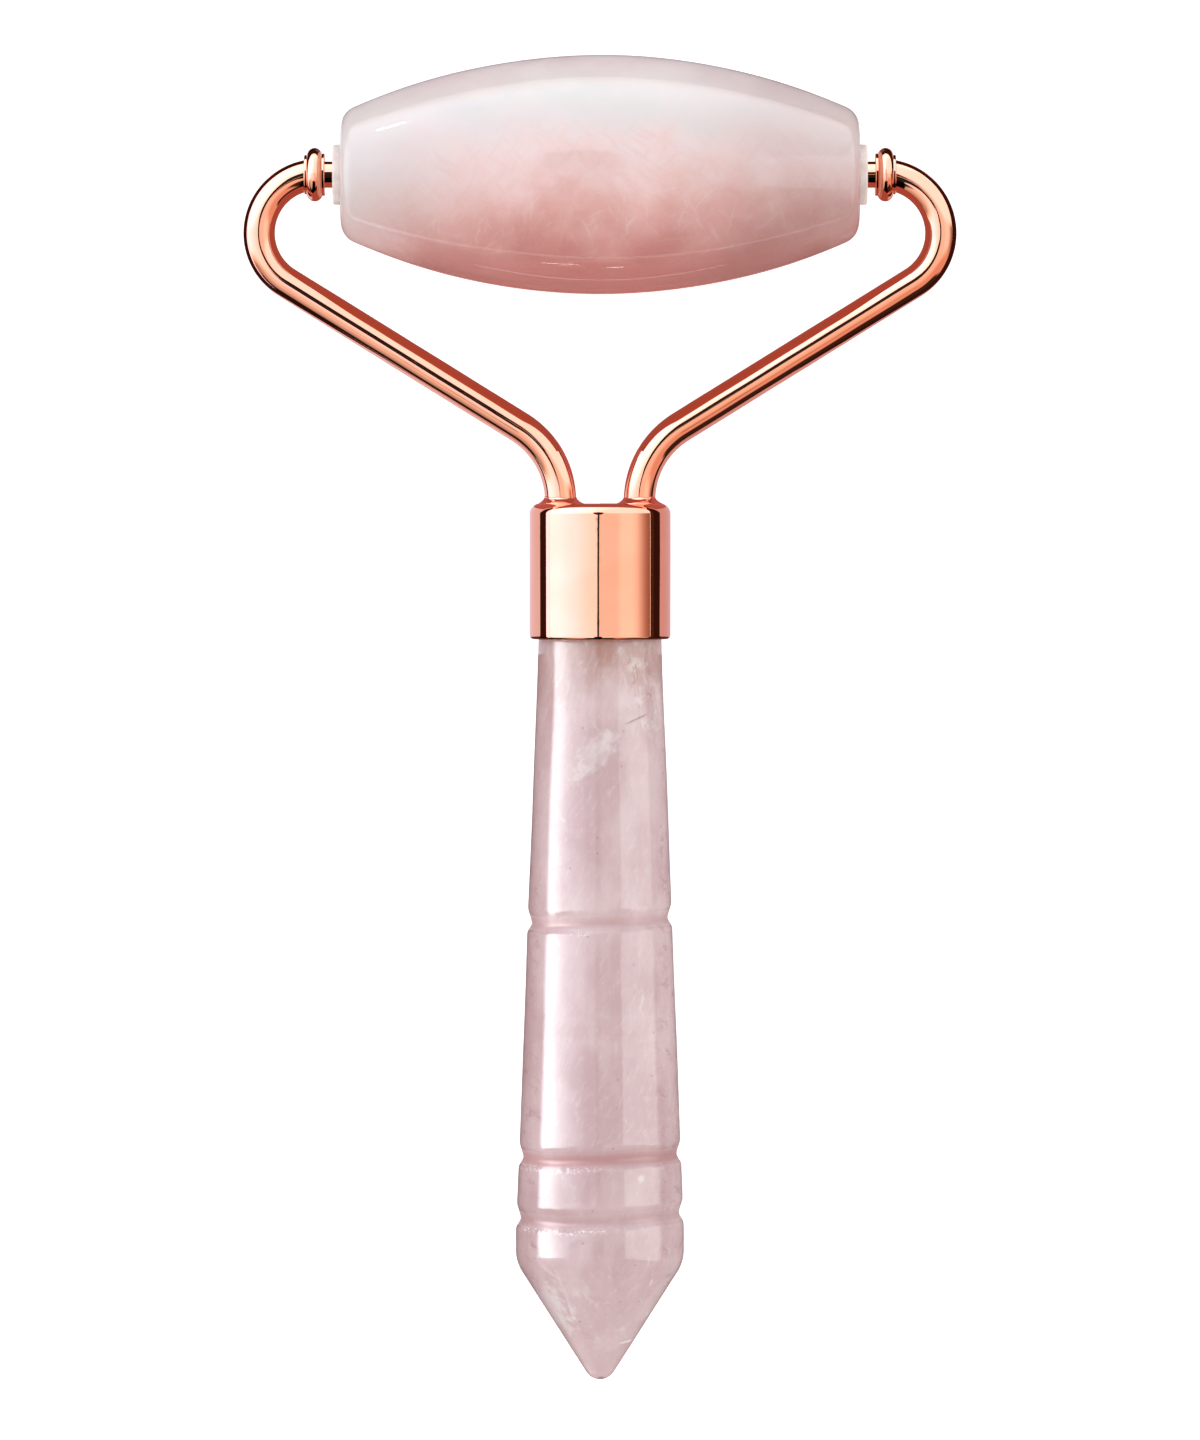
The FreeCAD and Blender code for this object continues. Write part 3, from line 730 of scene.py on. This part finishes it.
def braze_mesh(name, side, seed, segments=96):
    """Uneven collar of solder round an arm's foot, sunk into the arm and the ferrule."""
    rng = np.random.default_rng(seed)
    angle = ring_angles(segments)
    swell = sum(rng.uniform(0.3, 1) * np.sin(n * angle + rng.uniform(0, 6.28))
                for n in (1, 2, 3, 5, 8)) / 2.4
    height = BRAZE_HEIGHT + 0.16 * swell
    reach = BRAZE_REACH + 0.13 * np.roll(swell, segments // 3)
    inside = WIRE_RADIUS - BRAZE_SINK + 0 * angle
    rings = [(inside, height - 0.1)]
    for q in np.linspace(0, math.pi / 2, 12):
        bulge = 0.06 * math.sin(2 * q)
        rings.append((WIRE_RADIUS + 0.02 + reach * (1 - math.cos(q)) + bulge,
                      0.03 + height * (1 - math.sin(q)) + bulge))
    rings.append((WIRE_RADIUS + 0.02 + reach, -BRAZE_SINK + 0 * angle))
    rings.append((inside, -BRAZE_SINK + 0 * angle))
    verts = []
    for radius, rise in rings:
        verts += [(side * ARM_FOOT_X + r * math.cos(a), h - FERRULE_TOP, r * math.sin(a))
                  for r, h, a in zip(radius, rise, angle)]
    mesh = bpy.data.meshes.new(name)
    mesh.from_pydata(verts, [], grid_faces(len(rings), segments, True))
    return mesh


def dress(node, material):
    """Gives a CAD node its material."""
    slots = frame["nodes"][node].data.materials
    slots.clear()
    slots.append(material)


# ---------------------------------------------------------------- the object

def build_object():
    """Dresses the CAD nodes that stay and puts the redrawn pieces in the others' places."""
    rose_gold = rose_gold_material("rose_gold", 0.004, 0.025)
    braze_gold = rose_gold_material("rose_gold_braze", 0.10, 0.09)
    nylon = white_nylon_material()
    adhesive = adhesive_material()
    for node in ("left_collar", "right_collar"):
        dress(node, rose_gold)
    for node in ("left_bushing", "right_bushing"):
        dress(node, nylon)
    for node in ("left_bushing_adhesive", "right_bushing_adhesive", "handle_adhesive"):
        dress(node, adhesive)
    place(roller_stone_mesh(), "roller_stone_look", roller_quartz_material(),
          "roller", "roller_stone")
    place(handle_stone_mesh(), "handle_stone_look", handle_quartz_material(),
          "yoke_and_handle", "handle_stone")
    place(ferrule_mesh(), "ferrule_look", rose_gold, "yoke_and_handle", "ferrule")
    for name, side in (("left_arm", -1), ("right_arm", 1)):
        place(arm_mesh(name + "_look", side), name + "_look", rose_gold,
              "yoke_and_handle", name)
    for name, side, seed in (("left_braze", -1, 5), ("right_braze", 1, 9)):
        place(braze_mesh(name + "_look", side, seed), name + "_look", braze_gold,
              "yoke_and_handle", name)


# ---------------------------------------------------------------- table, light and camera

def make_floor():
    """A pale table top, a hair below the tool."""
    mesh = bpy.data.meshes.new("table")
    reach = 3000 * MM
    mesh.from_pydata([(-reach, -reach, 0), (reach, -reach, 0), (reach, reach, 0), (-reach, reach, 0)],
                     [], [(0, 1, 2, 3)])
    material, t = new_material("table")
    grain = t.noise(t.node("TexCoord").outputs["Object"], 40.0, 3.0)
    t.principled(Base_Color=t.mix(grain, (0.90, 0.90, 0.90), (0.92, 0.92, 0.92)), Roughness=0.7,
                 Emission_Color=(1.0, 1.0, 1.0, 1.0), Emission_Strength=0.45)
    mesh.materials.append(material)
    floor = bpy.data.objects.new("table", mesh)
    bpy.context.scene.collection.objects.link(floor)
    gap = 0.05
    floor.location.z = -gap * MM


def make_card(name, corners, radiance, height=0.05, shown_in=()):
    """A flat studio card, in millimetres, that shows only in reflections. If shown_in names some pieces,
    it glows only in theirs, and the other pieces mirror it as black."""
    material, t = new_material(name)
    glow = t.node("Emission", {"Color": (*radiance, 1.0), "Strength": 1.0})
    t.node("OutputMaterial", {"Surface": glow.outputs[0]})
    card = stage_card(name, [(x, y, height) for x, y in corners], [tuple(range(len(corners)))], material)
    if shown_in:
        show_only_in(card, shown_in)


def show_only_in(light, pieces):
    """Links a lamp's or a card's light to some pieces only."""
    receivers = bpy.data.collections.new(light.name)
    for piece in pieces:
        receivers.objects.link(bpy.data.objects[piece])
    light.light_linking.receiver_collection = receivers


def make_yoke_shade():
    """A folded card inside the yoke, a few millimetres from the arms, so that their inner sides mirror
    a deep rose instead of the bright roller. It stands lower beside the elbows."""
    side = [(28.6, -4.6, 0.9), (29.6, -4.8, 0.9), (31.2, -5.2, 1.1), (31.8, -6.2, 1.5), (30.9, -7.6, 2.6),
            (24.0, -11.9, 4.5), (6.2, -23.0, 4.6), (3.0, -22.0, 4.6), (0.0, -21.5, 4.6)]
    path = [(-x, y, top) for x, y, top in side] + side[-2::-1]
    verts = [(x, y, -11.2) for x, y, top in path] + path
    faces = [(i, i + 1, i + 1 + len(path), i + len(path)) for i in range(len(path) - 1)]
    material, t = new_material("yoke_shade")
    _, _, z = t.split(t.millimetres())
    colour = t.mix(t.ramp(z, -9.0, 1.0), (0.30, 0.15, 0.15), (0.42, 0.125, 0.10))
    colour = t.mix(t.ramp(z, 2.8, 4.6), colour, (0.55, 0.20, 0.16))
    glow = t.node("Emission", {"Color": colour, "Strength": 1.0})
    t.node("OutputMaterial", {"Surface": glow.outputs[0]})
    stage_card("yoke_shade", verts, faces, material).matrix_world = TOOL


def stage_card(name, verts, faces, material):
    """A card's object, given in millimetres, seen in mirror reflections only."""
    mesh = bpy.data.meshes.new(name)
    mesh.from_pydata(verts, [], faces)
    mesh.transform(Matrix.Scale(MM, 4))
    mesh.materials.append(material)
    card = bpy.data.objects.new(name, mesh)
    bpy.context.scene.collection.objects.link(card)
    card.visible_camera = False
    card.visible_diffuse = False
    card.visible_transmission = False
    card.visible_volume_scatter = False
    card.visible_shadow = False
    return card


def make_cards():
    """What polished surfaces see below the horizon: the paper round the tool, black card beyond it,
    and beyond that the lower edges of the lights and, in the roller, a bright horizon."""
    black = (0.035, 0.012, 0.008)
    around = [(26, -200), (26, 2), (38, 8), (38, 26), (42, 36), (42, 66)]
    left_around = [(-x, y) for x, y in around]
    right_half = [(0, 7), (36, 7)] + around[2:] + [(0, 66)]
    left_half = [(-x, y) for x, y in right_half]
    make_card("right_card", around + [(108, 66), (108, -200)], black)
    make_card("left_card", left_around + [(-108, 66), (-108, -200)], black)
    make_card("top_card", [(-108, 66), (-28, 66), (-28, 82), (28, 82), (28, 66), (108, 66),
                           (108, 150), (-108, 150)], black)
    make_card("right_paper", right_half, (0.70, 0.56, 0.64))
    make_card("left_paper", left_half, (0.86, 0.86, 1.02))
    make_card("left_far_paper", [(-26, 2), (-40, 4), (-55, -4), (-63, -9), (-38, -24), (-26, -6)],
              (0.80, 0.62, 0.70), 0.10, ["left_arm_look"])
    make_card("right_far_paper", [(26, 2), (40, 8), (45, 2), (31, -12), (26, -6)],
              (0.80, 0.62, 0.70), 0.10, ["right_arm_look"])
    make_card("handle_paper", [(-26, -200), (26, -200), (26, 2), (36, 7), (-36, 7), (-26, 2)],
              (0.10, 0.06, 0.06))
    make_card("roller_paper", [(-28, 66), (28, 66), (28, 82), (-28, 82)], (0.16, 0.12, 0.14))
    make_card("yoke_paper", [(-7, 24), (7, 24), (34, 40), (34, 56), (-34, 56), (-34, 40)],
              (0.50, 0.16, 0.14), 0.10)
    make_card("far_card", [(-3000, -300), (3000, -300), (3000, -50), (-3000, -50)], black, 0.03)
    make_card("horizon_card", [(-3000, -3000), (3000, -3000), (3000, -300), (-3000, -300)],
              (1.5, 1.4, 1.4), 0.03, ["roller_stone_look"])
    left_foot = (2.0, 2.1, 3.0)
    make_card("left_light_foot", [(-900, -150), (-108, -50), (-108, 150), (-900, 150)], left_foot)
    make_card("left_light_foot_on_stone", [(-900, -300), (-108, -300), (-108, -50), (-900, -150)],
              left_foot, shown_in=["handle_stone_look", "roller_stone_look"])
    make_card("right_light_foot", [(108, -300), (900, -300), (900, 150), (108, 150)], (0.06, 0.03, 0.02))
    make_card("top_light_foot", [(-900, 150), (900, 150), (900, 900), (-900, 900)], (2.3, 2.2, 2.2))


def make_light():
    """Soft light all round: a bright cool window on the left, a warmer one on the right, a light bank
    behind the roller, and a dark gap between them that widens towards the point of the handle."""
    world = bpy.data.worlds.new("studio")
    bpy.context.scene.world = world
    t = Tree(world)
    x, y, z = t.split(t.node("TexCoord").outputs["Generated"])
    down = t.times(t.math("ARCCOSINE", z), math.degrees(1))

    left_window = t.add(t.ramp(down, 10, 50, 1.55, 1.8), t.ramp(down, 45, 75, 0.0, 0.25))
    left_window = t.times(left_window, t.ramp(y, 0.0, 0.2, 1.0, 1.35))
    left_window = t.ramp_between(t.ramp(y, -0.45, -0.2), t.ramp(down, 30, 85, 1.25, 0.45), left_window)
    right_window = t.add(t.ramp(down, 26, 38, 1.08, 1.32), t.ramp(down, 50, 92, 0.0, -1.0))
    right_upper = t.ramp(down, 8, 20, 1.3, 1.75)
    right_side = t.ramp_between(t.ramp(y, 0.06, 0.2), right_window, right_upper)
    right_side = t.ramp_between(t.ramp(y, -0.35, -0.12), t.ramp(down, 20, 50, 1.08, 0.88), right_side)

    spread = t.add(0.012, t.times(t.math("MAXIMUM", t.math("SUBTRACT", y, 0.15), 0.0), 0.9))
    from_seam = t.add(x, 0.05)
    share = t.math("DIVIDE", from_seam, spread)
    light = t.ramp_between(t.ramp(share, -1, 1), left_window, right_side)

    bank = t.times(t.ramp(down, 70, 92), t.ramp(t.math("ABSOLUTE", x), 0.62, 0.35), t.ramp(y, 0.3, 0.6))
    light = t.add(light, t.times(bank, 0.8))
    low = t.add(down, t.ramp(x, -0.1, 0.1, 0.0, 16.0))
    low_dusk = t.times(t.ramp(y, -0.50, -0.62), t.ramp(low, 75, 84))
    middle_dusk = t.times(t.ramp(y, -0.45, -0.58), t.ramp(t.math("ABSOLUTE", x), 0.42, 0.28))
    dusk = t.math("MAXIMUM", low_dusk, middle_dusk)
    light = t.times(light, t.ramp(dusk, 0, 1, 1.0, 0.05))

    open_by = t.times(t.math("MAXIMUM", t.math("SUBTRACT", t.times(y, -1.0), 0.45), 0.0), 0.6)
    seam = t.add(t.ramp(y, -0.0375, -0.035, 0.026, 0.085), t.ramp(y, 0.0, 0.05, 0.0, 0.055),
                 t.ramp(y, -0.058, -0.070, 0.0, 0.08))
    half_gap = t.times(t.add(seam, open_by), t.ramp(y, 0.36, 0.28))
    gap = t.ramp(t.math("SUBTRACT", t.math("ABSOLUTE", from_seam), half_gap), -0.008, 0.008)
    light = t.times(light, t.ramp(gap, 0, 1, 0.02, 1.0))

    side_glow = t.mix(t.ramp(down, 8, 55), (1.0, 1.0, 1.12), (1.0, 1.12, 1.50))
    low_left = t.mix(t.ramp(down, 25, 50), (0.90, 1.0, 1.15), (1.0, 0.96, 0.92))
    side_glow = t.mix(t.ramp(y, -0.35, -0.12), low_left, side_glow)
    warm = t.mix(t.ramp(down, 60, 86), (1.0, 1.0, 0.98), (1.0, 0.62, 0.50))
    warm = t.mix(t.ramp(y, 0.06, 0.2), warm, (0.85, 1.0, 1.15))
    low_right = t.mix(t.ramp(down, 15, 46), (1.0, 0.95, 0.82), (1.0, 0.64, 0.53))
    warm = t.mix(t.ramp(y, -0.35, -0.12), low_right, warm)
    tint = t.mix(t.ramp(share, -1, 1), side_glow, warm)
    mirrored = t.node("Background", {"Color": tint, "Strength": light})
    dome_level = t.ramp(x, -1, 1, 1.25, 1.13)
    dome = t.node("Background", {"Color": (1.0, 1.0, 1.0, 1.0), "Strength": dome_level})
    in_mirror = t.node("LightPath").outputs["Is Glossy Ray"]
    both = t.node("MixShader", {0: in_mirror, 1: dome.outputs[0], 2: mirrored.outputs[0]})
    t.node("OutputWorld", {"Surface": both.outputs[0]})


def make_soft_box(name, aim, size, radiance, fade, shown_in, end=1.0, knee=1.0, soft_foot=0.001):
    """A soft box, in millimetres, that only the polish of the pieces named in shown_in shows. aim is its
    centre and the point it faces; size is its height and its width; fade is the share of its height,
    from the top, over which it dims to nothing; end is how bright it still is at its end nearest the
    roller; knee is the share of its height, from the bottom, above which it slowly dims; soft_foot is
    the share over which it comes up at the bottom."""
    data = bpy.data.lights.new(name, "AREA")
    data.shape = "RECTANGLE"
    data.size = size[1] * MM
    data.size_y = size[0] * MM
    data.energy = math.pi * data.size * data.size_y
    t = Tree(data)
    geometry = t.node("NewGeometry").outputs
    _, up, _ = t.split(geometry["Parametric"])
    _, at_y, _ = t.split(geometry["Position"])
    roller_end = aim[0][1] * MM + data.size / 2
    strength = t.times(t.ramp(up, 1.0, 1.0 - fade, 0.0, radiance), t.ramp(up, 0.0, soft_foot))
    above = t.math("DIVIDE", knee, t.math("MAXIMUM", up, knee))
    strength = t.times(strength, t.math("POWER", above, 1.4),
                       t.ramp(at_y, roller_end, roller_end - 0.7 * data.size, end, 1.0))
    glow = t.node("Emission", {"Color": (0.95, 1.0, 0.98, 1.0), "Strength": strength})
    t.node("OutputLight", {"Surface": glow.outputs[0]})
    light = bpy.data.objects.new(name, data)
    bpy.context.scene.collection.objects.link(light)
    centre, target = Vector(aim[0]), Vector(aim[1])
    light.location = centre * MM
    light.rotation_euler = (target - centre).to_track_quat("-Z", "Y").to_euler()
    light.visible_camera = False
    light.visible_diffuse = False
    light.visible_transmission = False
    light.visible_volume_scatter = False
    show_only_in(light, shown_in)


def make_soft_boxes():
    """The soft boxes that polished stone shows as clean highlights."""
    roller, handle = ["roller_stone_look"], ["handle_stone_look"]
    make_soft_box("left_soft_box", ((-108, -23, 150), (0, -23, 150)), (298, 106), 15.5, 0.25, handle,
                  end=0.8, knee=0.16, soft_foot=0.06)
    make_soft_box("right_soft_box", ((108, -29, 88), (0, -29, 88)), (174, 118), 3.5, 0.02, handle,
                  end=0.5, soft_foot=0.12)
    make_soft_box("back_bank", ((0, 208, 95), (0, 58, 95)), (189, 420), 1.8, 0.75, roller,
                  soft_foot=0.02)
    make_soft_box("left_end_box", ((-150, 58, 60), (0, 58, 60)), (118, 130), 1.4, 0.6, roller)
    make_soft_box("right_end_box", ((150, 60, 128), (0, 60, 128)), (254, 140), 1.4, 0.02, roller)
    make_soft_box("horizon_strip", ((0, 40.4, 13.6), (0, 46.3, 18.2)), (0.25, 66), 2.0, 0.02, roller)
    make_soft_box("left_glint", ((-6.3, 24.5, 15.3), (-3.8, 48, 20.6)), (0.5, 6.0), 10.0, 0.3, roller)
    make_soft_box("right_glint", ((2.2, 24.5, 13.8), (1.5, 48, 20.3)), (0.6, 2.6), 10.0, 0.3, roller)
    make_soft_box("streak_lamp", ((-185, 305, 84), (-22.0, 62.5, 20.0)), (11, 30), 32.0, 0.3, roller)


def make_camera():
    """Straight down on the tool, from as far as a long lens needs."""
    data = bpy.data.cameras.new("camera")
    data.lens = 200
    data.sensor_width = 36
    camera = bpy.data.objects.new("camera", data)
    bpy.context.scene.collection.objects.link(camera)
    shown_height = 152.9 * MM
    below_middle = 0.14 * MM
    low, high = cad_box
    middle = (low + high) / 2
    distance = shown_height * data.lens / data.sensor_width
    camera.location = (0, middle.y - below_middle, AXLE.z + distance)
    bpy.context.scene.camera = camera


make_camera()
make_floor()
build_object()
make_cards()
make_yoke_shade()
make_light()
make_soft_boxes()
bpy.context.scene.view_settings.view_transform = "Standard"
